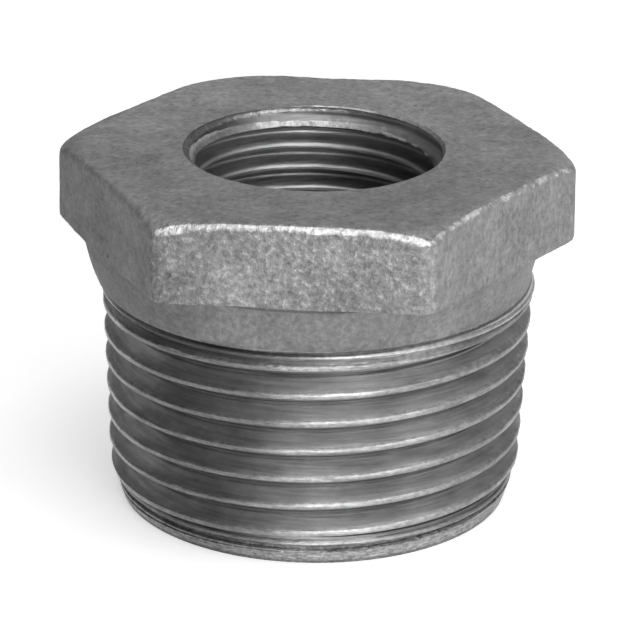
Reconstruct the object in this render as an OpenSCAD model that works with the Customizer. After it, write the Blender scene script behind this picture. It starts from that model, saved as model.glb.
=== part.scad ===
// Reducing bushing, one malleable iron casting.
// Hexagon head, tapered outer thread below it, smaller parallel thread through the head.
// The small end stands on the plane z = 0 and the head is on top, along +Z.

/* [Head] */

// distance between two opposite flats of the hexagon
hex_across_flats = 36; // [35.2:0.1:37]
// radius of the upright corners of the hexagon
hex_corner_radius = 2.2; // [1:0.1:3]
// height of the flats
hex_height = 6.7; // [6:0.1:8]
// how far the top falls from the middle to the tips of the corners
crown_drop = 1; // [0.5:0.1:1.5]
// how far the top falls where it meets the middle of a flat
crown_edge_drop = 0.3; // [0.1:0.05:0.4]
// width of the sloping band along the middle of a flat
crown_edge_width = 0.7; // [0.4:0.1:1]

/* [Body] */

// overall height, from the small end to the top of the head
total_height = 28.6; // [28:0.1:30]
// outside diameter of the cast collar just under the head
collar_top_diameter = 35.7; // [35:0.1:36]
// outside diameter of the cast collar where the turned part begins
collar_low_diameter = 34.2; // [34:0.1:34.8]
// height of the sharper flare of the collar just under the head
flare_height = 0.9; // [0.5:0.1:1.2]
// how far that flare reaches out
flare_reach = 0.25; // [0.1:0.05:0.4]
// diameter of the cored recess at the small end
recess_low_diameter = 24.4; // [22:0.1:25]
// diameter of the cored recess at its inner end
recess_top_diameter = 23.6; // [21.5:0.1:24.5]
// height of the cored recess
recess_height = 10.2; // [9:0.1:11]

/* [Outer thread] */

// rise of the outer thread in one turn
outer_pitch = 2.309; // [2.309:0.001:2.309]
// crest diameter in the gauge plane
outer_gauge_diameter = 33.249; // [33.249:0.001:33.249]
// distance of the gauge plane from the small end
gauge_length = 10.39; // [10:0.01:10.8]
// growth in diameter for each millimetre of length
outer_taper = 0.0625; // [0.0625:0.0001:0.0625]
// height at which the turned part meets the collar
turned_length = 18.2; // [17.6:0.1:18.6]
// height of the highest crest on the side of the front flat
first_crest_height = 16.69; // [16.4:0.01:17]
// turns over which the groove grows shallow and ends
runout_turns = 1.45; // [1:0.05:1.8]
// turns past the front flat at which the highest groove ends
groove_end_turn = 0.45; // [0.3:0.05:0.6]
// diameter of the small end inside the lead-in chamfer
end_diameter = 30.6; // [30:0.1:31]
// height of the lead-in chamfer
end_chamfer_height = 1.5; // [1.2:0.1:2]

/* [Inner thread] */

// distance between two grooves of the inner thread
inner_pitch = 1.814; // [1.814:0.001:1.814]
// diameter of the lands between the grooves
inner_land_diameter = 18.631; // [18.631:0.001:18.631]
// number of lands of the inner thread
inner_land_count = 9; // [8:1:9]
// diameter of the tapered mouth where it meets the top of the head
mouth_diameter = 20.24; // [20.1:0.02:20.6]
// angle between the wall of the tapered mouth and the axis
mouth_wall_angle = 27.5; // [26:0.5:30]

/* [Hidden] */

fine_round = 72;
turn_steps = 48;
flank_slope = tan(27.5);
crest_share = 1 / 6;
depth_share = 0.6403;
outer_depth = depth_share * outer_pitch;
inner_depth = depth_share * inner_pitch;
least_depth = 0.04;
past = 1;

hex_low = total_height - hex_height;
hex_flat = hex_across_flats / 2;
hex_core = hex_flat - hex_corner_radius;
flat_overlap = 0.1;
crown_edge = hex_flat + flat_overlap;
crown_inner = crown_edge - crown_edge_width;
crown_outer = hex_flat / cos(30);

// one groove of the outer thread lies half a pitch above the highest crest
// and its turn is counted from the front flat
last_groove = first_crest_height + outer_pitch / 2;
groove_turns = 10;
rows_each = 4;
row_count = groove_turns * rows_each;

land_half = inner_pitch * crest_share / 2;
mouth_depth = (mouth_diameter - inner_land_diameter) / 2 / tan(mouth_wall_angle);
first_land = total_height - mouth_depth - land_half;
inner_root = inner_land_diameter / 2 + inner_depth;

function crest_radius(z) = outer_gauge_diameter / 2 + (z - gauge_length) * outer_taper / 2;
function lead_radius(z) =
    end_diameter / 2 + z * (crest_radius(end_chamfer_height) - end_diameter / 2) / end_chamfer_height;
function cut_depth(turn) =
    max(least_depth, outer_depth * min(1, max(0, (groove_end_turn - turn) / runout_turns)));

// a row of points runs once round the shank and rises by one pitch
// rows 0 and 1 are the root of the groove, rows 2 and 3 the crest above it
function row_turn(step, row) = step / turn_steps + floor(row / rows_each) - groove_turns + 1;
function row_offset(kind, depth) =
    kind < 2
        ? (kind * 2 - 1) * (outer_pitch * crest_share / 2 + (outer_depth - depth) * flank_slope)
        : outer_pitch / 2 + (kind * 2 - 5) * outer_pitch * crest_share / 2;
function row_height(step, row) =
    last_groove + outer_pitch * row_turn(step, row)
        + row_offset(row % rows_each, cut_depth(row_turn(step, row)));
function row_radius(step, row) =
    let (z = row_height(step, row), depth = row % rows_each < 2 ? cut_depth(row_turn(step, row)) : 0)
        min(crest_radius(z) - depth, lead_radius(z));
function row_point(step, row) =
    let (angle = 270 + 360 * step / turn_steps, r = row_radius(step, row))
        [r * cos(angle), r * sin(angle), row_height(step, row)];

// step 0 has one more turn of rows, which closes the last step
function place(step, row) =
    step == turn_steps
        ? row + rows_each
        : step == 0
            ? row
            : row_count + rows_each + (step - 1) * row_count + row;

module threaded_shank() {
    start_rows = [for (row = [0 : row_count + rows_each - 1]) row_point(0, row)];
    other_rows = [for (step = [1 : turn_steps - 1]) for (row = [0 : row_count - 1]) row_point(step, row)];
    low_centre = len(start_rows) + len(other_rows);
    high_centre = low_centre + 1;
    centres = [[0, 0, start_rows[0][2]], [0, 0, start_rows[row_count + rows_each - 1][2]]];
    side_low = [
        for (step = [0 : turn_steps - 1])
        for (row = [0 : row_count - 2])
        [place(step, row), place(step, row + 1), place(step + 1, row)]
    ];
    side_high = [
        for (step = [0 : turn_steps - 1])
        for (row = [0 : row_count - 2])
        [place(step, row + 1), place(step + 1, row + 1), place(step + 1, row)]
    ];
    low_fan = [
        for (step = [0 : turn_steps - 1])
        [low_centre, place(step, 0), place(step + 1, 0)]
    ];
    low_wall = [for (row = [0 : rows_each - 1]) [low_centre, row + 1, row]];
    high_fan = [
        for (step = [0 : turn_steps - 1])
        [high_centre, place(step + 1, row_count - 1), place(step, row_count - 1)]
    ];
    high_wall = [
        for (row = [row_count - 1 : row_count + rows_each - 2])
        [high_centre, row, row + 1]
    ];
    intersection() {
        polyhedron(
            points = concat(start_rows, other_rows, centres),
            faces = concat(side_low, side_high, low_fan, low_wall, high_fan, high_wall)
        );
        translate([-hex_across_flats, -hex_across_flats, 0])
            cube([2 * hex_across_flats, 2 * hex_across_flats, turned_length + past]);
    }
}

module collar() {
    rotate_extrude($fn = fine_round)
        polygon([
            [0, turned_length],
            [collar_low_diameter / 2, turned_length],
            [collar_top_diameter / 2 - flare_reach, hex_low - flare_height],
            [collar_top_diameter / 2, hex_low],
            [collar_top_diameter / 2, hex_low + past],
            [0, hex_low + past]
        ]);
}

module rounded_hexagon() {
    // straight flats between the tangent points, with a true circle at each corner
    core = hex_core / cos(30);
    polygon([
        for (corner = [0 : 5])
        for (side = [-30, 30])
        [
            core * cos(60 * corner) + hex_corner_radius * cos(60 * corner + side),
            core * sin(60 * corner) + hex_corner_radius * sin(60 * corner + side)
        ]
    ]);
    for (corner = [0 : 5])
        translate([core * cos(60 * corner), core * sin(60 * corner)])
            circle(r = hex_corner_radius, $fn = fine_round);
}

module head() {
    intersection() {
        translate([0, 0, hex_low])
            linear_extrude(height = hex_height)
                rounded_hexagon();
        rotate_extrude($fn = fine_round)
            polygon([
                [0, hex_low - past],
                [crown_outer + past, hex_low - past],
                [crown_outer + past, total_height - crown_drop],
                [crown_outer, total_height - crown_drop],
                [crown_edge, total_height - crown_edge_drop],
                [crown_inner, total_height],
                [0, total_height]
            ]);
    }
}

module inner_cut() {
    groove_points = [
        for (land = [0 : inner_land_count - 1])
        let (z = first_land - land * inner_pitch)
        for (point = [
            [inner_land_diameter / 2, z + land_half],
            [inner_land_diameter / 2, z - land_half],
            [inner_root, z - inner_pitch / 2 + land_half],
            [inner_root, z - inner_pitch / 2 - land_half]
        ])
        point
    ];
    rotate_extrude($fn = fine_round)
        polygon(concat(
            [
                [0, total_height + past],
                [mouth_diameter / 2 + past * tan(mouth_wall_angle), total_height + past],
            ],
            groove_points,
            [
                [recess_top_diameter / 2, recess_height],
                [recess_low_diameter / 2, 0],
                [recess_low_diameter / 2, -past],
                [0, -past]
            ]
        ));
}

module bushing() {
    color([0.3, 0.3, 0.31])
        difference() {
            union() {
                threaded_shank();
                collar();
                head();
            }
            inner_cut();
        }
}

bushing();
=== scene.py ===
import math

import bpy
from mathutils import Matrix, Vector, noise


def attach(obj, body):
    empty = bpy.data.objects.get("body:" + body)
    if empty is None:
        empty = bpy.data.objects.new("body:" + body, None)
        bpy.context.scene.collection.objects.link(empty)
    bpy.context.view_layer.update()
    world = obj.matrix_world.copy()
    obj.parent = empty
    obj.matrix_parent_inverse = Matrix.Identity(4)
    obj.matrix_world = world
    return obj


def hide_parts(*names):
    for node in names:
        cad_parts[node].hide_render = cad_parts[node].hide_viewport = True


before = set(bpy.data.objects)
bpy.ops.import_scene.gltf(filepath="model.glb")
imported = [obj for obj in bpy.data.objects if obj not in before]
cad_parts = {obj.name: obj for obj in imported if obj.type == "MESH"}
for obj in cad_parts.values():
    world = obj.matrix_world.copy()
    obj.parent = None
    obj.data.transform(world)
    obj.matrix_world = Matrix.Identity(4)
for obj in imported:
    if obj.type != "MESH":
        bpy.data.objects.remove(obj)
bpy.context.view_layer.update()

# The casting: a hexagon head with a short round collar under it, poured in sand in one piece.
# It is malleable iron with a dull zinc coat. Its edges are soft and a little ragged, its top sinks
# towards the corners, and its faces keep the grain of the sand, coarsest on the front flat.
across_flats = 36.0
corner_round = 2.2
front_corner_round = 1.1
top_edge_round = 0.45
head_top = 28.6
head_foot = 21.9
collar_foot = 18.2
mesh_step = 0.25
# the top sinks by this share of a power of the distance past this radius
sink_start, sink_share, sink_power = 18.0, 0.13, 1.9
front, right_front, left_front = math.radians(-90), math.radians(-30), math.radians(-150)


def start_on_nothing():
    if bpy.context.object and bpy.context.object.mode == "EDIT":
        bpy.ops.object.mode_set(mode="OBJECT")
    bpy.ops.object.select_all(action="DESELECT")


def pick(piece):
    start_on_nothing()
    piece.select_set(True)
    bpy.context.view_layer.objects.active = piece


def apply_all(piece):
    pick(piece)
    for modifier in list(piece.modifiers):
        bpy.ops.object.modifier_apply(modifier=modifier.name)


def at_radius(p, radius):
    """The place p, in millimetres, moved to this distance from the axis. The result is in metres."""
    out = math.hypot(p.x, p.y)
    return Vector((p.x * radius / out, p.y * radius / out, p.z)) / 1000


def drawn_line(name, outline):
    """One vertex, pulled along the outline. Each point is (radius, height) in millimetres."""
    start_on_nothing()
    bpy.ops.mesh.primitive_plane_add(size=0.001)
    line = bpy.context.object
    line.name = name
    bpy.ops.object.mode_set(mode="EDIT")
    bpy.ops.mesh.select_mode(type="VERT")
    bpy.ops.mesh.select_all(action="SELECT")
    bpy.ops.mesh.merge(type="CENTER")
    last = (0.0, 0.0)
    for number, point in enumerate(outline):
        step = ((point[0] - last[0]) / 1000, 0, (point[1] - last[1]) / 1000)
        if number == 0:
            bpy.ops.transform.translate(value=step)
        else:
            bpy.ops.mesh.extrude_region_move(TRANSFORM_OT_translate={"value": step})
        last = point
    bpy.ops.object.mode_set(mode="OBJECT")
    return line


def turned(name, outline, steps):
    """A solid turned round the axis, from an outline that starts and ends on it or closes on itself."""
    solid = drawn_line(name, outline)
    bpy.ops.object.mode_set(mode="EDIT")
    bpy.ops.mesh.select_all(action="SELECT")
    bpy.ops.mesh.spin(steps=steps, angle=2 * math.pi, center=(0, 0, 0), axis=(0, 0, 1))
    bpy.ops.mesh.select_all(action="SELECT")
    bpy.ops.mesh.remove_doubles(threshold=1e-6)
    bpy.ops.mesh.normals_make_consistent(inside=False)
    bpy.ops.object.mode_set(mode="OBJECT")
    return solid


def cut_or_join(body, tool, way):
    """The tool is joined to the body or cut out of it, and is gone afterwards."""
    modifier = body.modifiers.new(way.lower(), "BOOLEAN")
    modifier.operation = way
    modifier.object = tool
    modifier.solver = "EXACT"
    modifier.material_mode = "TRANSFER"
    apply_all(body)
    start_on_nothing()
    tool.select_set(True)
    bpy.ops.object.delete()
    return body


def bevel_edges(piece, wanted, width, segments):
    """Rounds the edges whose two ends pass the test."""
    pick(piece)
    bpy.ops.object.mode_set(mode="EDIT")
    bpy.ops.mesh.select_mode(type="EDGE")
    bpy.ops.mesh.select_all(action="DESELECT")
    bpy.ops.object.mode_set(mode="OBJECT")
    for edge in piece.data.edges:
        ends = [piece.data.vertices[number].co for number in edge.vertices]
        edge.select = wanted(ends[0], ends[1])
    bpy.ops.object.mode_set(mode="EDIT")
    bpy.ops.mesh.bevel(offset=width / 1000, segments=segments, affect="EDGES")
    bpy.ops.object.mode_set(mode="OBJECT")


def hexagon_distance(p):
    """How far out a place is, measured square to the nearest flat."""
    return max(abs(p.x * math.cos(a) + p.y * math.sin(a)) for a in (front, right_front, left_front))


start_on_nothing()
bpy.ops.mesh.primitive_cylinder_add(
    vertices=6,
    radius=across_flats / 2 / math.cos(math.pi / 6) / 1000,
    depth=(head_top - head_foot) / 1000,
    location=(0, 0, (head_top + head_foot) / 2000),
    rotation=(0, 0, math.pi / 6),
)
casting = bpy.context.object
casting.name = "bushing_casting"
bpy.ops.object.transform_apply(location=True, rotation=True, scale=True)
# at a corner of 120 degrees a bevel starts this share of its radius away from the corner
start_share = math.tan(math.pi / 6)
corner_bevel, front_bevel = corner_round * start_share, front_corner_round * start_share
bevel_edges(casting, lambda a, b: abs(a.z - b.z) > 0.001 and a.y > -0.01, corner_bevel, 8)
bevel_edges(casting, lambda a, b: abs(a.z - b.z) > 0.001 and a.y < -0.0179, front_bevel, 6)
bevel_edges(casting, lambda a, b: min(a.z, b.z) > (head_top - 0.01) / 1000, top_edge_round, 3)

collar_outline = [
    (0, collar_foot), (17.12, collar_foot), (17.2, 18.6), (17.38, 19.4), (17.55, 20.3),
    (17.68, 21.2), (17.72, 21.7), (17.72, 23.5), (0, 23.5),
]
collar = turned("collar", collar_outline, 96)
for vertex in collar.data.vertices:
    p = vertex.co * 1000
    if math.hypot(p.x, p.y) > 17:
        # the collar meets four of the flats smoothly, and stays back under the front and rear ones
        hug = min(1.0, math.cos(math.atan2(p.y, p.x)) ** 2 / 0.7) * min(1.0, max(0.0, (p.z - 19.5) / 2))
        # it was cast a little off centre and stands out further on the left
        belly = 0.32 * max(0.0, -p.x / 17) ** 2 - 0.15 * max(0.0, p.x / 17) ** 2
        belly *= max(0.0, min(1.0, (p.z - 18.0) / 1.2))
        vertex.co.xy *= 1 + (0.20 * hug + belly) / 17.7
cut_or_join(casting, collar, "UNION")

modifier = casting.modifiers.new("poured", "REMESH")
modifier.mode = "VOXEL"
modifier.voxel_size = mesh_step / 1000
modifier.use_smooth_shade = True
modifier = casting.modifiers.new("soft_edges", "SMOOTH")
modifier.factor = 0.5
modifier.iterations = 2
apply_all(casting)

outward = [vertex.normal.copy() for vertex in casting.data.vertices]
for vertex, normal in zip(casting.data.vertices, outward):
    p = vertex.co * 1000
    out = math.hypot(p.x, p.y)
    share_up = (p.z - head_foot) / (head_top - head_foot)
    # the top sinks towards the corners, most at the very tips
    sink = sink_share * max(0.0, out - sink_start) ** sink_power * max(0.0, share_up)
    # the mould leaves slow waves and a few dents on every face
    wave = noise.noise(p * 0.16 + Vector((3, 1, 7))) * 0.07 + noise.noise(p * 0.5) * 0.02
    wave += noise.noise(p * 1.5 + Vector((0, 9, 0))) * 0.015
    if p.z > head_top - 0.8 and hexagon_distance(p) > across_flats / 2 - 0.7:
        wave += noise.noise(p * 0.9 + Vector((5, 0, 2))) * 0.025 + noise.noise(p * 2.6) * 0.025
    shift = normal * (wave - 0.05)
    if p.z < head_foot - 0.4:
        shift *= 0.45
    # the mould was poor under the left corner, which is cut back from below
    missing = 0.35 * min(1.0, max(0.0, (-p.x - 18.4) / 2.0)) * max(0.0, 1 - share_up)
    vertex.co = (p + shift - Vector((0, 0, sink + 0.03 - missing))) / 1000


def place(tree, kind, inputs=None, **settings):
    """Puts one node in the tree. Each input takes a number, or the socket that feeds it."""
    new = tree.nodes.new(kind)
    for name, value in settings.items():
        setattr(new, name, value)
    for name, value in (inputs or {}).items():
        if isinstance(value, bpy.types.NodeSocket):
            tree.links.new(value, new.inputs[name])
        else:
            new.inputs[name].default_value = value
    return new


def sums(tree, operation, *numbers):
    """A Math node, and the socket with its result."""
    return place(tree, "ShaderNodeMath", dict(enumerate(numbers)), operation=operation).outputs[0]


def step_up(tree, number, low, high):
    """Rises smoothly from 0 at low to 1 at high."""
    ramp = place(
        tree, "ShaderNodeMapRange", {"Value": number, "From Min": low, "From Max": high},
        interpolation_type="SMOOTHSTEP",
    )
    return ramp.outputs["Result"]


def band(tree, number, rise, fall):
    """Rises from 0 to 1 over the first stretch and falls back to 0 over the second."""
    return sums(tree, "MULTIPLY", step_up(tree, number, *rise), step_up(tree, number, fall[1], fall[0]))


def toned(tree, shade, mask, share):
    """The shade, made lighter or darker by this share of itself where the mask is 1."""
    return sums(tree, "MULTIPLY", shade, sums(tree, "MULTIPLY_ADD", mask, share, 1.0))


def stretched(tree, where, x, y, z):
    """The place with each direction stretched, so that what is drawn on it is squeezed."""
    return place(tree, "ShaderNodeVectorMath", {0: where, 1: (x, y, z)}, operation="MULTIPLY").outputs[0]


def cloudy(tree, where, scale, detail, rough=0.55):
    return place(
        tree, "ShaderNodeTexNoise",
        {"Vector": where, "Scale": scale, "Detail": detail, "Roughness": rough},
    ).outputs["Fac"]


def new_effect(name, inputs, outputs):
    """An empty shader node group, with the ends that its nodes hang between."""
    group = bpy.data.node_groups.new(name, "ShaderNodeTree")
    for label, kind in inputs:
        group.interface.new_socket(label, in_out="INPUT", socket_type=kind)
    for label in outputs:
        group.interface.new_socket(label, in_out="OUTPUT", socket_type="NodeSocketFloat")
    return group, group.nodes.new("NodeGroupInput").outputs, group.nodes.new("NodeGroupOutput").inputs


# sand grain: round specks of the mould's sand, with larger blotches and a few pits among them
sand_grain, given, result = new_effect(
    "sand_grain",
    [("Place", "NodeSocketVector"), ("Specks per mm", "NodeSocketFloat")],
    ["Height", "Tone", "Pits", "Specks"],
)
specks = cloudy(sand_grain, given["Place"], given["Specks per mm"], 3.0, 0.65)
blotches = cloudy(sand_grain, given["Place"], 0.85, 4.0, 0.65)
slow = cloudy(sand_grain, stretched(sand_grain, given["Place"], 1, 1, 1.3), 0.2, 3.0)
cells = place(sand_grain, "ShaderNodeTexVoronoi", {"Vector": given["Place"], "Scale": 0.55}).outputs
cell_mark = place(sand_grain, "ShaderNodeSeparateColor", {"Color": cells["Color"]}).outputs[0]
few = step_up(sand_grain, cell_mark, 0.55, 0.7)
pits = sums(sand_grain, "MULTIPLY", few, step_up(sand_grain, cells["Distance"], 0.16, 0.05))
lumps = sums(sand_grain, "MULTIPLY_ADD", blotches, 0.5, sums(sand_grain, "MULTIPLY", specks, 0.5))
sand_grain.links.new(sums(sand_grain, "SUBTRACT", lumps, 0.5), result["Height"])
tone = sums(sand_grain, "MULTIPLY_ADD", slow, 0.45, sums(sand_grain, "MULTIPLY", blotches, 0.35))
tone = sums(sand_grain, "MULTIPLY_ADD", specks, 0.20, tone)
sand_grain.links.new(tone, result["Tone"])
sand_grain.links.new(pits, result["Pits"])
sand_grain.links.new(sums(sand_grain, "SUBTRACT", specks, 0.5), result["Specks"])

# the zinc-coated casting: the grain is strong on the front flat, drawn upright on the right one
# and weak on the top and the collar
zinc = bpy.data.materials.new("zinc_coated_casting")
zinc.use_nodes = True
tree = zinc.node_tree
skin = tree.nodes["Principled BSDF"]
where = place(tree, "ShaderNodeTexCoord").outputs["Object"]
where = place(tree, "ShaderNodeVectorMath", {0: where, "Scale": 1000.0}, operation="SCALE").outputs[0]
height = place(tree, "ShaderNodeSeparateXYZ", {0: where}).outputs["Z"]
on_head = step_up(tree, height, 21.6, 22.2)


def square_to(direction):
    """How far out a place is in this direction."""
    return place(
        tree, "ShaderNodeVectorMath",
        {0: where, 1: (math.cos(direction), math.sin(direction), 0)}, operation="DOT_PRODUCT",
    ).outputs["Value"]


def on_flat(direction):
    """1 on the flat that faces this way, 0 elsewhere."""
    return sums(tree, "MULTIPLY", step_up(tree, square_to(direction), 17.25, 17.6), on_head)


grain = place(tree, "ShaderNodeGroup", node_tree=sand_grain)
tree.links.new(where, grain.inputs["Place"])
grain.inputs["Specks per mm"].default_value = 2.3
upright = place(tree, "ShaderNodeGroup", node_tree=sand_grain)
tree.links.new(stretched(tree, where, 1, 1, 0.55), upright.inputs["Place"])
upright.inputs["Specks per mm"].default_value = 2.6
on_front = on_flat(front)
on_right = on_flat(right_front)
coarse = sums(tree, "MULTIPLY_ADD", on_front, 2.2, 1.1)
streaky = sums(tree, "MULTIPLY", on_right, 1.4)
relief = sums(tree, "MULTIPLY", grain.outputs["Height"], coarse)
relief = sums(tree, "MULTIPLY_ADD", upright.outputs["Height"], streaky, relief)
relief = sums(tree, "MULTIPLY_ADD", grain.outputs["Pits"], -0.5, relief)
bump = place(tree, "ShaderNodeBump", {"Height": relief, "Distance": 0.0002, "Strength": 1.0})
tree.links.new(bump.outputs["Normal"], skin.inputs["Normal"])
shade = place(tree, "ShaderNodeMapRange", {
    "Value": sums(tree, "MULTIPLY_ADD", grain.outputs["Pits"], -0.25, grain.outputs["Tone"]),
    "From Min": 0.38, "From Max": 0.62, "To Min": 0.175, "To Max": 0.275,
}).outputs["Result"]
# single grains are lighter or darker than the skin between them
speckle = sums(tree, "MULTIPLY", grain.outputs["Specks"], sums(tree, "MULTIPLY_ADD", on_front, 0.6, 1.0))
upright_share = sums(tree, "MULTIPLY", on_right, 0.9)
speckle = sums(tree, "MULTIPLY_ADD", upright.outputs["Specks"], upright_share, speckle)
# the brightest grains on the front flat get a painted glint
painted_grain_glint = sums(tree, "MULTIPLY", step_up(tree, grain.outputs["Specks"], 0.09, 0.15), on_front)
speckle = sums(tree, "MULTIPLY_ADD", painted_grain_glint, 0.30, speckle)
shade = sums(tree, "MULTIPLY", shade, sums(tree, "ADD", speckle, 1.0))
# painted light: the front flat is painted lighter and the right-front flat a little darker
shade = toned(tree, shade, on_front, 0.13)
shade = toned(tree, shade, on_right, -0.06)
# the upper edges of the head are rubbed to brighter metal and painted with a highlight: the front one in a
# band, the right one in patches. The flat height is the height before the top sinks towards the corners
level_place = place(tree, "ShaderNodeVectorMath", {0: where, 1: (1, 1, 0)}, operation="MULTIPLY").outputs[0]
from_axis = place(tree, "ShaderNodeVectorMath", {0: level_place}, operation="LENGTH").outputs["Value"]
past_start = sums(tree, "MAXIMUM", sums(tree, "SUBTRACT", from_axis, sink_start), 0.0)
flat_height = sums(tree, "MULTIPLY_ADD", sums(tree, "POWER", past_start, sink_power), sink_share, height)
uneven = cloudy(tree, where, 0.9, 4.0, 0.7)
edge_height = sums(tree, "MULTIPLY_ADD", uneven, 0.6, flat_height)
wear_and_highlight = 0.0
for direction, share, patchy, low, high in (
    (front, 1.0, 0.0, 46.22, 46.44), (right_front, 0.15, 0.6, 46.34, 46.50),
):
    worn = step_up(tree, sums(tree, "ADD", square_to(direction), edge_height), low, high)
    worn = sums(tree, "MULTIPLY", worn, step_up(tree, square_to(direction), 17.60, 17.72))
    share = sums(tree, "MULTIPLY_ADD", step_up(tree, uneven, 0.47, 0.55), patchy, share)
    wear_and_highlight = sums(tree, "MULTIPLY_ADD", worn, share, wear_and_highlight)
# the upright edge on the right of the front flat gets a soft painted highlight too
upright_edge_highlight = step_up(tree, square_to(math.radians(-60)), 20.15, 20.55)
upright_edge_highlight = sums(tree, "MULTIPLY", upright_edge_highlight, on_head)
# the mouth is bare metal, torn in patches along its lip at the back and in a band lower down, and painted
# lighter all over, most at the back, as a highlight
# the torn side is a little left of straight behind
torn_side = math.radians(103)
in_mouth = sums(tree, "MULTIPLY", step_up(tree, from_axis, 10.22, 10.14), step_up(tree, height, 26.9, 27.0))
at_back = sums(tree, "MULTIPLY", in_mouth, step_up(tree, square_to(torn_side), 7.6, 9.2))
lip = sums(tree, "MULTIPLY", at_back, step_up(tree, height, 28.2, 28.3))
torn_band = band(tree, height, (26.9, 27.1), (27.6, 27.75))
torn_band = sums(tree, "MULTIPLY", torn_band, at_back)
torn_band = sums(tree, "ADD", lip, torn_band)
torn_patches = sums(tree, "MULTIPLY", torn_band, step_up(tree, uneven, 0.40, 0.52))
wear_and_highlight = sums(tree, "MULTIPLY_ADD", torn_patches, 0.5, wear_and_highlight)
mouth_share = sums(tree, "MULTIPLY_ADD", at_back, 0.25, 0.08)
wear_and_highlight = sums(tree, "MULTIPLY_ADD", in_mouth, mouth_share, wear_and_highlight)
wear_and_highlight = sums(tree, "MINIMUM", sums(tree, "MULTIPLY_ADD", upright_edge_highlight, 0.12, wear_and_highlight), 1.0)
shade = toned(tree, shade, wear_and_highlight, 1.7)
# the collar and the left side are painted darker, as shade under the head and on the side away from the lamps
below_head = step_up(tree, height, 22.0, 21.6)
shade = toned(tree, shade, below_head, -0.16)
left_side = step_up(tree, square_to(left_front), 12.0, 17.0)
left_side = sums(tree, "MULTIPLY", left_side, step_up(tree, flat_height, 28.5, 28.2))
shade = toned(tree, shade, left_side, -0.23)
# the top is painted lighter towards the back as the light falls, and the mouth is painted darker on its left
# as shade
on_top = step_up(tree, flat_height, 28.2, 28.5)
painted_top_gradient = sums(tree, "MULTIPLY_ADD", step_up(tree, square_to(math.pi / 2), -12.0, 14.0), 0.26, -0.08)
shade = toned(tree, shade, on_top, painted_top_gradient)
mouth_left = sums(tree, "MULTIPLY", in_mouth, step_up(tree, square_to(math.pi), 4.5, 8.5))
mouth_left = sums(tree, "MULTIPLY", mouth_left, step_up(tree, height, 27.9, 27.6))
shade = toned(tree, shade, mouth_left, -0.45)
# a painted shadow lies in the corner under the front flat
painted_corner_shadow = band(tree, height, (21.55, 21.75), (21.85, 22.0))
painted_corner_shadow = sums(tree, "MULTIPLY", painted_corner_shadow, step_up(tree, square_to(front), 12.5, 14.0))
shade = toned(tree, shade, painted_corner_shadow, -0.45)
tree.links.new(
    place(tree, "ShaderNodeCombineColor", {0: shade, 1: shade, 2: shade}).outputs["Color"],
    skin.inputs["Base Color"],
)
dullness = place(tree, "ShaderNodeMapRange", {
    "Value": grain.outputs["Tone"], "From Min": 0.3, "From Max": 0.7, "To Min": 0.58, "To Max": 0.48,
}).outputs["Result"]
tree.links.new(sums(tree, "MULTIPLY_ADD", wear_and_highlight, -0.12, dullness), skin.inputs["Roughness"])
tree.links.new(sums(tree, "MULTIPLY_ADD", wear_and_highlight, 0.35, 0.1), skin.inputs["Metallic"])
skin.inputs["Specular IOR Level"].default_value = 0.25
casting.data.materials.clear()
casting.data.materials.append(zinc)

# The turned shank: one right-hand tapered pipe thread, cut by a die from the small end upwards.
# The die cuts through the zinc to bare grey iron and stops just under the collar, where its groove
# gets shallow and ends in a narrow ring. The small end is bevelled to lead into the female part.
outer_pitch = 2.309
gauge_radius = 33.249 / 2
gauge_height = 10.39
# the radius of the cone grows by this share of the height, and the lands inside stay level
cone_growth = 1 / 32
land_radius = 18.631 / 2
# the highest crest on the side of the camera, and that side in turns round from +X
crest_at_front = 16.72
front_turn = 275.45 / 360
# past that side the groove ends after so many turns, over so many turns it grows shallow
groove_end_turn, runout_turns = 0.45, 1.45
# shares of the pitch: the depth of the thread, the bend of a round tip and half the width of a flat one
thread_depth, standard_bend, flat_half = 0.6403, 0.1373, 0.08324
flank = math.radians(27.5)
# the bevel of the small end: its radius on the ground, and its growth with the height
end_radius, end_slope = 15.45, 0.33
steps_round = 216
# the rings have another number of steps, so that their edges don't fall on those of the thread
ring_steps = 196


def round_tip(pitch, share):
    """A bent crest or root. The bend is this share of the standard one, and the flanks stay in place."""
    half = math.pi / 2 - flank
    bend = share * standard_bend * pitch
    reach = (standard_bend * pitch - bend) * (1 / math.cos(half) - 1)
    turns = [half * step / 2 for step in (-2, -1, 0, 1, 2)]
    return [(reach - bend + bend * math.cos(turn), bend * math.sin(turn)) for turn in turns]


def flat_tip(pitch, ease, middle):
    """A flat crest or root with eased corners. Its middle can stand out or lie deeper."""
    half = flat_half * pitch
    slope = math.tan(flank)
    side = [(-0.12, half + 0.12 * slope), (-ease, half + ease * slope), (middle, half - ease)]
    return [(out, -along) for out, along in side] + [(out, along) for out, along in reversed(side)]


def thread_wave(pitch, root, crest, turns, foot, crest_tip, root_tip):
    """The outline of a 55-degree thread. A tip is a list of (outwards, along) from its own middle."""
    line = []
    for turn in range(turns):
        middle = foot + turn * pitch
        line += [(crest + out, middle + along) for out, along in crest_tip]
        line += [(root - out, middle + pitch / 2 + along) for out, along in root_tip]
    return line


def screwed(name, outline, pitch, steps):
    """The outline wound round the axis, one pitch up each turn, with its seam closed."""
    solid = drawn_line(name, outline)
    modifier = solid.modifiers.new("wound", "SCREW")
    modifier.axis = "Z"
    modifier.angle = 2 * math.pi
    modifier.screw_offset = pitch / 1000
    modifier.steps = steps
    modifier.render_steps = steps
    modifier.iterations = 1
    apply_all(solid)
    bpy.ops.object.mode_set(mode="EDIT")
    bpy.ops.mesh.select_all(action="SELECT")
    bpy.ops.mesh.remove_doubles(threshold=2e-6)
    bpy.ops.mesh.normals_make_consistent(inside=False)
    bpy.ops.object.mode_set(mode="OBJECT")
    return solid


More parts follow.
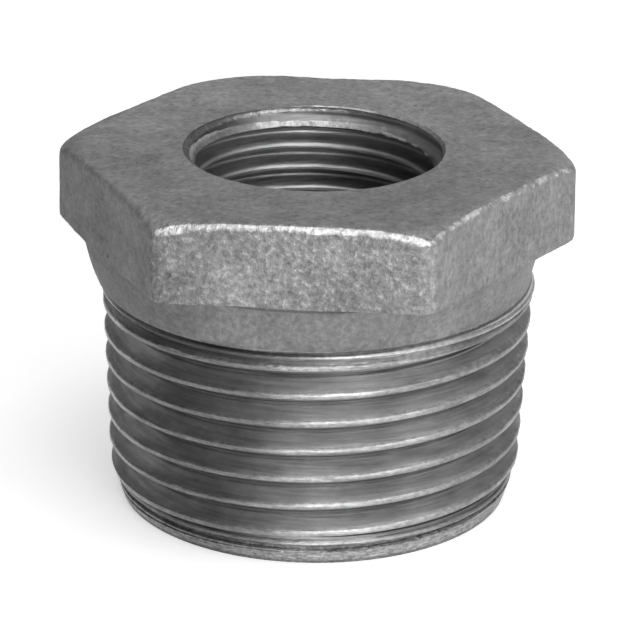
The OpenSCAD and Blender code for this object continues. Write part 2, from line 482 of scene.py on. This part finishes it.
def trimmed(piece, height, keep_below):
    """The piece is sawn off level at this height and its end is closed."""
    pick(piece)
    bpy.ops.object.mode_set(mode="EDIT")
    bpy.ops.mesh.select_all(action="SELECT")
    bpy.ops.mesh.bisect(
        plane_co=(0, 0, height / 1000), plane_no=(0, 0, 1), use_fill=True,
        clear_outer=keep_below, clear_inner=not keep_below, threshold=1e-7,
    )
    bpy.ops.object.mode_set(mode="OBJECT")


outer_depth = thread_depth * outer_pitch
lowest_crest = crest_at_front - 9 * outer_pitch
shank = screwed(
    "shank",
    thread_wave(
        outer_pitch, gauge_radius - outer_depth, gauge_radius, 13,
        lowest_crest - front_turn * outer_pitch,
        flat_tip(outer_pitch, 0.055, 0.0), flat_tip(outer_pitch, 0.09, 0.05),
    ),
    outer_pitch,
    steps_round,
)
for vertex in shank.data.vertices:
    p = vertex.co * 1000
    out = math.hypot(p.x, p.y)
    # turns up the groove from the one above the highest crest on the front
    turn = (p.z - crest_at_front) / outer_pitch - 0.5
    depth = outer_depth * min(1.0, max(0.0, (groove_end_turn - turn) / runout_turns))
    # the root lies a little deeper in its middle
    kept = max(out, gauge_radius - depth * 1.034)
    # crests are torn and nicked here and there
    if out > gauge_radius - 0.05:
        kept -= 0.12 * max(0.0, noise.noise(p * 0.8 + Vector((0, 4, 1))) - 0.25)
        kept += 0.03 * noise.noise(p * 1.9)
    kept += (p.z - gauge_height) * cone_growth
    vertex.co = at_radius(p, kept)
trimmed(shank, -0.3, False)
trimmed(shank, 19.6, True)

# the first groove is only half cut and shows two low ridges. Each ring and tool reaches past the
# faces that it meets, so that no edge of it lies in one of them
start_ring = turned(
    "start_ring",
    [
        (0, -0.5), (15.65, -0.5), (15.70, 0.45), (15.56, 0.80), (15.74, 0.98), (15.73, 1.10),
        (15.52, 1.24), (15.52, 1.42), (15.88, 1.66), (15.96, 1.78), (15.93, 1.92), (15.74, 2.08),
        (15.70, 2.30), (15.06, 2.55), (0, 2.55),
    ],
    ring_steps,
)
for vertex in start_ring.data.vertices:
    p = vertex.co * 1000
    out = math.hypot(p.x, p.y)
    if out > 15:
        kept = out + 0.04 * noise.noise(p * 0.9)
        vertex.co = at_radius(p, kept)
cut_or_join(shank, start_ring, "UNION")
trimmed(shank, 0.0, False)
lead_in = turned(
    "lead_in",
    [
        (end_radius - end_slope, -1.0), (end_radius + end_slope * 3.5, 3.5), (19.0, 3.5), (19.0, -1.0),
        (end_radius - end_slope, -1.0),
    ],
    ring_steps,
)
cut_or_join(shank, lead_in, "DIFFERENCE")
stop_ring = turned(
    "stop_ring",
    [
        (0, 17.15), (16.40, 17.15), (16.50, 17.40), (16.84, 17.52), (16.93, 17.60), (16.95, 17.68),
        (16.91, 17.78), (16.78, 17.93), (16.78, 18.05), (16.85, 18.25), (16.86, 19.0), (0, 19.0),
    ],
    ring_steps,
)
cut_or_join(shank, stop_ring, "UNION")
for vertex in shank.data.vertices:
    p = vertex.co * 1000
    out = max(0.001, math.hypot(p.x, p.y))
    # the blank was a little askew in the die, so that the thread stands out further on the right
    askew = 0.028 * max(0.0, p.z - 2) * max(0.0, p.x / out) ** 2 * min(1.0, max(0.0, (18.6 - p.z) / 0.5))
    vertex.co.xy *= 1 + askew / max(out, 5.0)

# tool marks: fine lines round the axis, left by a die, a tap or a turning tool
tool_marks, given, result = new_effect(
    "tool_marks", [("Place", "NodeSocketVector"), ("Lines per mm", "NodeSocketFloat")], ["Height", "Tone"]
)
lines = cloudy(
    tool_marks, stretched(tool_marks, given["Place"], 0.02, 0.02, 1), given["Lines per mm"], 3.0, 0.6
)
broken = cloudy(tool_marks, stretched(tool_marks, given["Place"], 0.35, 0.35, 2.6), 1.0, 2.0)
slow = cloudy(tool_marks, given["Place"], 0.22, 2.0)
ridges = sums(tool_marks, "MULTIPLY_ADD", lines, 0.6, sums(tool_marks, "MULTIPLY", broken, 0.4))
tool_marks.links.new(ridges, result["Height"])
tone = sums(tool_marks, "MULTIPLY_ADD", lines, 0.35, sums(tool_marks, "MULTIPLY", broken, 0.35))
tool_marks.links.new(sums(tool_marks, "MULTIPLY_ADD", slow, 0.3, tone), result["Tone"])

# bare cut iron: brighter and smoother than the zinc, torn where a cut starts and ends
cut_iron = bpy.data.materials.new("bare_cut_iron")
cut_iron.use_nodes = True
tree = cut_iron.node_tree
skin = tree.nodes["Principled BSDF"]
where = place(tree, "ShaderNodeTexCoord").outputs["Object"]
where = place(tree, "ShaderNodeVectorMath", {0: where, "Scale": 1000.0}, operation="SCALE").outputs[0]
height = place(tree, "ShaderNodeSeparateXYZ", {0: where}).outputs["Z"]
marks = place(tree, "ShaderNodeGroup", node_tree=tool_marks)
tree.links.new(where, marks.inputs["Place"])
marks.inputs["Lines per mm"].default_value = 7.0
torn = place(tree, "ShaderNodeGroup", node_tree=sand_grain)
tree.links.new(stretched(tree, where, 0.7, 0.7, 1.2), torn.inputs["Place"])
torn.inputs["Specks per mm"].default_value = 3.2
near_stop = band(tree, height, (16.2, 16.5), (17.0, 17.2))
near_start = step_up(tree, height, 2.2, 1.4)
near_mouth = step_up(tree, height, 27.95, 28.1)
torn_places = sums(tree, "MAXIMUM", near_start, near_mouth)
rough_places = sums(tree, "MAXIMUM", sums(tree, "MULTIPLY", near_stop, 0.5), torn_places)
relief = sums(tree, "MULTIPLY", torn.outputs["Height"], sums(tree, "MULTIPLY_ADD", rough_places, 3.5, 0.6))
relief = sums(tree, "ADD", marks.outputs["Height"], relief)
bump = place(tree, "ShaderNodeBump", {"Height": relief, "Distance": 0.00007, "Strength": 1.0})
tree.links.new(bump.outputs["Normal"], skin.inputs["Normal"])
shade = place(tree, "ShaderNodeMapRange", {
    "Value": marks.outputs["Tone"], "From Min": 0.38, "From Max": 0.62, "To Min": 0.25, "To Max": 0.44,
}).outputs["Result"]
shiny_specks = sums(tree, "MULTIPLY_ADD", torn_places, 2.2, 0.25)
shiny_specks = sums(tree, "MULTIPLY_ADD", torn.outputs["Specks"], shiny_specks, 1.0)
shade = sums(tree, "MULTIPLY", shade, shiny_specks)
level_place = place(tree, "ShaderNodeVectorMath", {0: where, 1: (1, 1, 0)}, operation="MULTIPLY").outputs[0]
from_axis = place(tree, "ShaderNodeVectorMath", {0: level_place}, operation="LENGTH").outputs["Value"]
crest_here = sums(tree, "MULTIPLY_ADD", height, cone_growth, gauge_radius - gauge_height * cone_growth)
below_crest = sums(tree, "SUBTRACT", crest_here, from_axis)
on_shank = step_up(tree, below_crest, 3.0, 2.5)
# turns up from the nearest crest below, for the painted shade in the root of the groove
apart = place(tree, "ShaderNodeSeparateXYZ", {0: where}).outputs
angle = sums(tree, "ARCTAN2", apart["Y"], apart["X"])
turns_up = sums(tree, "MULTIPLY_ADD", height, 1 / outer_pitch, front_turn - crest_at_front / outer_pitch)
turns_up = sums(tree, "MULTIPLY_ADD", angle, -0.5 / math.pi, sums(tree, "ADD", turns_up, 20.0))
turns_up = sums(tree, "FRACT", turns_up)
above_start = sums(tree, "MULTIPLY", on_shank, step_up(tree, height, 1.9, 2.3))
painted_groove_shade = band(tree, turns_up, (0.41, 0.47), (0.56, 0.62))
painted_groove_shade = sums(tree, "MULTIPLY", painted_groove_shade, above_start)
# the painted shade also fills the last shallow groove under the stop, and the two low ones at the start
last_groove = band(tree, height, (16.9, 17.0), (17.46, 17.56))
painted_groove_shade = sums(tree, "MAXIMUM", painted_groove_shade, sums(tree, "MULTIPLY", sums(tree, "MULTIPLY", last_groove, on_shank), 0.5))
under_cone = sums(tree, "SUBTRACT", sums(tree, "MULTIPLY_ADD", height, end_slope, end_radius), from_axis)
low_grooves = sums(tree, "MULTIPLY", step_up(tree, under_cone, 0.16, 0.34), step_up(tree, height, 2.5, 2.3))
low_grooves = sums(tree, "MULTIPLY", low_grooves, step_up(tree, height, 0.6, 0.9))
painted_groove_shade = sums(tree, "MAXIMUM", painted_groove_shade, sums(tree, "MULTIPLY", sums(tree, "MULTIPLY", low_grooves, on_shank), 0.7))
shade = toned(tree, shade, painted_groove_shade, -0.7)
# the flanks that face up are painted lighter, as light from above falls on them
painted_flank_light = band(tree, turns_up, (0.07, 0.09), (0.39, 0.42))
painted_flank_light = sums(tree, "MULTIPLY", painted_flank_light, above_start)
shade = toned(tree, shade, painted_flank_light, 0.4)
# painted shade darkens the thread on both sides in patches, more on the left, and leaves the front clear
patches = cloudy(tree, where, 0.6, 4.0, 0.65)
for direction, low, high, share in ((-120, 14.6, 17.4, -0.48), (-25, 14.6, 16.9, -0.24)):
    painted_side_shade = sums(tree, "MULTIPLY_ADD", patches, 2.0, square_to(math.radians(direction)))
    painted_side_shade = sums(tree, "MULTIPLY", step_up(tree, painted_side_shade, low, high), on_shank)
    shade = toned(tree, shade, painted_side_shade, share)
# the edge that it stands on is painted darker, as shade where it meets the floor
foot = step_up(tree, height, 0.40, 0.15)
shade = toned(tree, shade, foot, -0.45)
# the crests are rubbed in bright specks
rubbed = step_up(tree, below_crest, 0.30, 0.12)
rubbed_specks = sums(tree, "MULTIPLY_ADD", torn.outputs["Specks"], 1.3, 0.05)
shade = toned(tree, shade, rubbed, rubbed_specks)
# inside, painted shade darkens the flanks near the lands, and the lands get a painted highlight
inner_out = sums(tree, "SUBTRACT", from_axis, land_radius)
inside = step_up(tree, below_crest, 4.0, 4.6)
painted_inner_flank_shade = sums(tree, "MULTIPLY", step_up(tree, inner_out, 0.08, 0.22), inside)
painted_inner_flank_shade = sums(tree, "MULTIPLY", painted_inner_flank_shade, step_up(tree, inner_out, 1.05, 0.25))
painted_inner_flank_shade = sums(tree, "MULTIPLY", painted_inner_flank_shade, step_up(tree, height, 27.1, 26.9))
shade = toned(tree, shade, painted_inner_flank_shade, -0.45)
painted_land_highlight = sums(tree, "MULTIPLY", step_up(tree, inner_out, 0.14, 0.05), inside)
shade = toned(tree, shade, painted_land_highlight, 0.3)
# the gap under the mouth is painted dark as shade, and so is the first groove above it, except on its right
mouth_gap = band(tree, height, (26.72, 26.82), (27.0, 27.1))
mouth_gap = sums(tree, "MULTIPLY", mouth_gap, inside)
shade = toned(tree, shade, mouth_gap, -0.6)
first_groove = band(tree, height, (27.4, 27.5), (28.02, 28.12))
first_groove = sums(tree, "MULTIPLY", first_groove, inside)
first_groove = sums(tree, "MULTIPLY", first_groove, step_up(tree, square_to(0), 7.0, 2.0))
shade = toned(tree, shade, first_groove, -0.4)
# its lip is torn and gets a painted highlight at the back, and is painted darker on the left as shade
torn_lip_highlight = sums(tree, "MULTIPLY", near_mouth, step_up(tree, square_to(torn_side), 7.6, 9.2))
shade = toned(tree, shade, torn_lip_highlight, 0.4)
groove_left = sums(tree, "MULTIPLY", step_up(tree, height, 27.0, 27.2), inside)
groove_left = sums(tree, "MULTIPLY", groove_left, step_up(tree, square_to(math.pi), 4.5, 8.5))
shade = toned(tree, shade, groove_left, -0.5)
tree.links.new(
    place(tree, "ShaderNodeCombineColor", {0: shade, 1: shade, 2: shade}).outputs["Color"],
    skin.inputs["Base Color"],
)
dullness = place(tree, "ShaderNodeMapRange", {
    "Value": marks.outputs["Tone"], "From Min": 0.3, "From Max": 0.7, "To Min": 0.48, "To Max": 0.38,
}).outputs["Result"]
tree.links.new(dullness, skin.inputs["Roughness"])
skin.inputs["Metallic"].default_value = 0.9
shank.data.materials.clear()
shank.data.materials.append(cut_iron)

# The passage: bored and threaded from the head, with a tapered mouth, above a cored recess.
# The inner thread is parallel and finer, and it runs out into the wider recess, which is left as cast.
inner_pitch = 1.814
inner_depth = thread_depth * inner_pitch
land_at_back = 25.42
back_turn = 95.45 / 360

bore = screwed(
    "bore",
    thread_wave(
        inner_pitch, land_radius, land_radius + inner_depth, 13,
        land_at_back - (9.5 + back_turn) * inner_pitch,
        round_tip(inner_pitch, 1.0), round_tip(inner_pitch, 0.7),
    ),
    inner_pitch,
    144,
)
for vertex in bore.data.vertices:
    p = vertex.co * 1000
    out = math.hypot(p.x, p.y)
    # the tap tears the first lands where it enters
    if p.z > 25.6 and out < land_radius + 0.5:
        kept = out + 0.10 * max(0.0, noise.noise(p * 0.9 + Vector((2, 7, 1))) + 0.15) * (p.z - 25.6)
        vertex.co = at_radius(p, kept)
trimmed(bore, 10.0, False)
trimmed(bore, 29.5, True)
recess = turned(
    "recess",
    [(0, -1.0), (12.24, -1.0), (11.8, 9.9), (11.3, 10.8), (10.2, 11.9), (9.0, 12.9), (0, 12.9)],
    96,
)
mouth = turned(
    "mouth",
    [
        (0, 25.0), (8.25, 25.01), (land_radius, 27.055), (9.49, 27.40), (9.66, 27.74), (9.79, 27.98),
        (9.90, 28.08), (10.02, 28.34), (10.18, 28.66), (10.82, 29.8), (0, 29.8),
    ],
    180,
)
for vertex in mouth.data.vertices:
    p = vertex.co * 1000
    out = math.hypot(p.x, p.y)
    if out > land_radius:
        # the reamer chatters, and its edge breaks out in small steps
        kept = out + noise.noise(Vector((p.x * 0.6, p.y * 0.6, p.z * 1.5))) * 0.05
        kept += noise.noise(Vector((p.x * 1.6, p.y * 1.6, p.z))) * (0.09 if 27.2 < p.z < 27.6 else 0.03)
        vertex.co = at_radius(p, kept)
bore.data.materials.clear()
bore.data.materials.append(cut_iron)
mouth.data.materials.clear()
mouth.data.materials.append(zinc)
recess.data.materials.clear()
recess.data.materials.append(zinc)
cut_or_join(bore, recess, "UNION")
cut_or_join(bore, mouth, "UNION")

bushing = cut_or_join(casting, shank, "UNION")
cut_or_join(bushing, bore, "DIFFERENCE")
bushing.name = "bushing_cast_iron"
pick(bushing)
bpy.ops.object.mode_set(mode="EDIT")
bpy.ops.mesh.select_all(action="SELECT")
bpy.ops.mesh.remove_doubles(threshold=1e-6)
# the level end is a ring, so it is split into triangles that keep clear of the hole in it
bpy.ops.mesh.select_mode(type="FACE")
bpy.ops.mesh.select_all(action="DESELECT")
bpy.ops.mesh.select_face_by_sides(number=16, type="GREATER")
bpy.ops.mesh.quads_convert_to_tris(quad_method="BEAUTY", ngon_method="BEAUTY")
bpy.ops.object.mode_set(mode="OBJECT")
bpy.ops.object.shade_smooth_by_angle(angle=math.radians(40))
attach(bushing, "root")
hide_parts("bushing")

# The stage: a plain pale floor that runs on into the background, four soft lamps and a pale room.
# It is no part of the bushing.
start_on_nothing()
bpy.ops.mesh.primitive_plane_add(size=6)
floor = bpy.context.object
floor.name = "floor"
pale = bpy.data.materials.new("pale_floor")
pale.use_nodes = True
tree = pale.node_tree
skin = tree.nodes["Principled BSDF"]
skin.inputs["Base Color"].default_value = (0.75, 0.75, 0.75, 1)
skin.inputs["Roughness"].default_value = 0.9
skin.inputs["Specular IOR Level"].default_value = 0.1
# a lift that only the camera and reflections see makes it near white, and it still takes the shadow
seen = place(tree, "ShaderNodeLightPath").outputs
shown = sums(tree, "MAXIMUM", seen["Is Camera Ray"], seen["Is Glossy Ray"])
shown = sums(tree, "MAXIMUM", shown, seen["Is Transmission Ray"])
tree.links.new(sums(tree, "MULTIPLY", shown, 0.50), skin.inputs["Emission Strength"])
skin.inputs["Emission Color"].default_value = (1, 1, 1, 1)
floor.data.materials.append(pale)


def soft_lamp(name, stand, aim, size, power):
    data = bpy.data.lights.new(name, "AREA")
    data.shape = "RECTANGLE"
    data.size, data.size_y = size
    data.energy = power
    lamp = bpy.data.objects.new(name, data)
    bpy.context.scene.collection.objects.link(lamp)
    lamp.location = stand
    lamp.rotation_euler = (Vector(aim) - Vector(stand)).to_track_quat("-Z", "Y").to_euler()
    return lamp


soft_lamp("front", (0.15, -0.50, 0.12), (0, 0, 0.015), (0.44, 0.20), 1.8)
soft_lamp("above", (0.27, -0.22, 0.50), (0, 0, 0.015), (0.66, 0.74), 2.1)
soft_lamp("overhead", (0.02, -0.01, 0.56), (0, 0, 0.015), (0.26, 0.42), 1.15)
soft_lamp("right", (0.46, -0.20, 0.16), (0, 0, 0.015), (0.36, 0.26), 0.2)

# the room is pale at eye level and dims upwards, to the left and behind
world = bpy.data.worlds.new("room")
bpy.context.scene.world = world
world.use_nodes = True
tree = world.node_tree
sky = place(tree, "ShaderNodeTexCoord").outputs["Generated"]
sky = place(tree, "ShaderNodeSeparateXYZ", {0: sky}).outputs
wall = place(tree, "ShaderNodeMapRange", {
    "Value": sky["Z"], "From Min": 0.12, "From Max": 0.30, "To Min": 0.36, "To Max": 0.0,
}).outputs["Result"]
ceiling = place(tree, "ShaderNodeMapRange", {
    "Value": sky["Z"], "From Min": 0.25, "From Max": 0.62, "To Min": 0.34, "To Max": 0.05,
}).outputs["Result"]
from_left = place(tree, "ShaderNodeMapRange", {
    "Value": sky["X"], "From Min": -0.8, "From Max": 0.0, "To Min": 0.4, "To Max": 1.0,
}).outputs["Result"]
behind = place(tree, "ShaderNodeMapRange", {
    "Value": sky["Y"], "From Min": -0.2, "From Max": 0.4, "To Min": 1.0, "To Max": 0.4,
}).outputs["Result"]
wall = sums(tree, "MULTIPLY", wall, behind)
level = sums(tree, "MULTIPLY", sums(tree, "ADD", wall, ceiling), from_left)
tree.links.new(
    place(tree, "ShaderNodeCombineColor", {0: level, 1: level, 2: level}).outputs["Color"],
    tree.nodes["Background"].inputs["Color"],
)
tree.nodes["Background"].inputs["Strength"].default_value = 1.0

# The camera looks down on the front flat, a little from the right, from about 29 cm away.
# It leans by half a degree and aims at the axis, about half way up the bushing.
focal_pixels, picture_pixels, camera_distance = 3686.46, 640, 0.29355
side, rise, lean = math.radians(5.45), math.radians(21.86), math.radians(0.54)
away = Vector((math.sin(side) * math.cos(rise), -math.cos(side) * math.cos(rise), math.sin(rise)))
right = Vector((math.cos(side), math.sin(side), 0))
camera_data = bpy.data.cameras.new("camera")
camera_data.sensor_width = 36
camera_data.lens = focal_pixels / picture_pixels * 36
camera_data.clip_start = 0.01
camera_data.clip_end = 20
camera = bpy.data.objects.new("camera", camera_data)
bpy.context.scene.collection.objects.link(camera)
aim = Vector((0, 0, 0.014)) + right * 0.00041
turn_to = (-away).to_track_quat("-Z", "Y").to_matrix() @ Matrix.Rotation(lean, 3, "Z")
camera.matrix_world = Matrix.Translation(aim + away * camera_distance) @ turn_to.to_4x4()
bpy.context.scene.camera = camera
bpy.context.scene.view_settings.view_transform = "Standard"
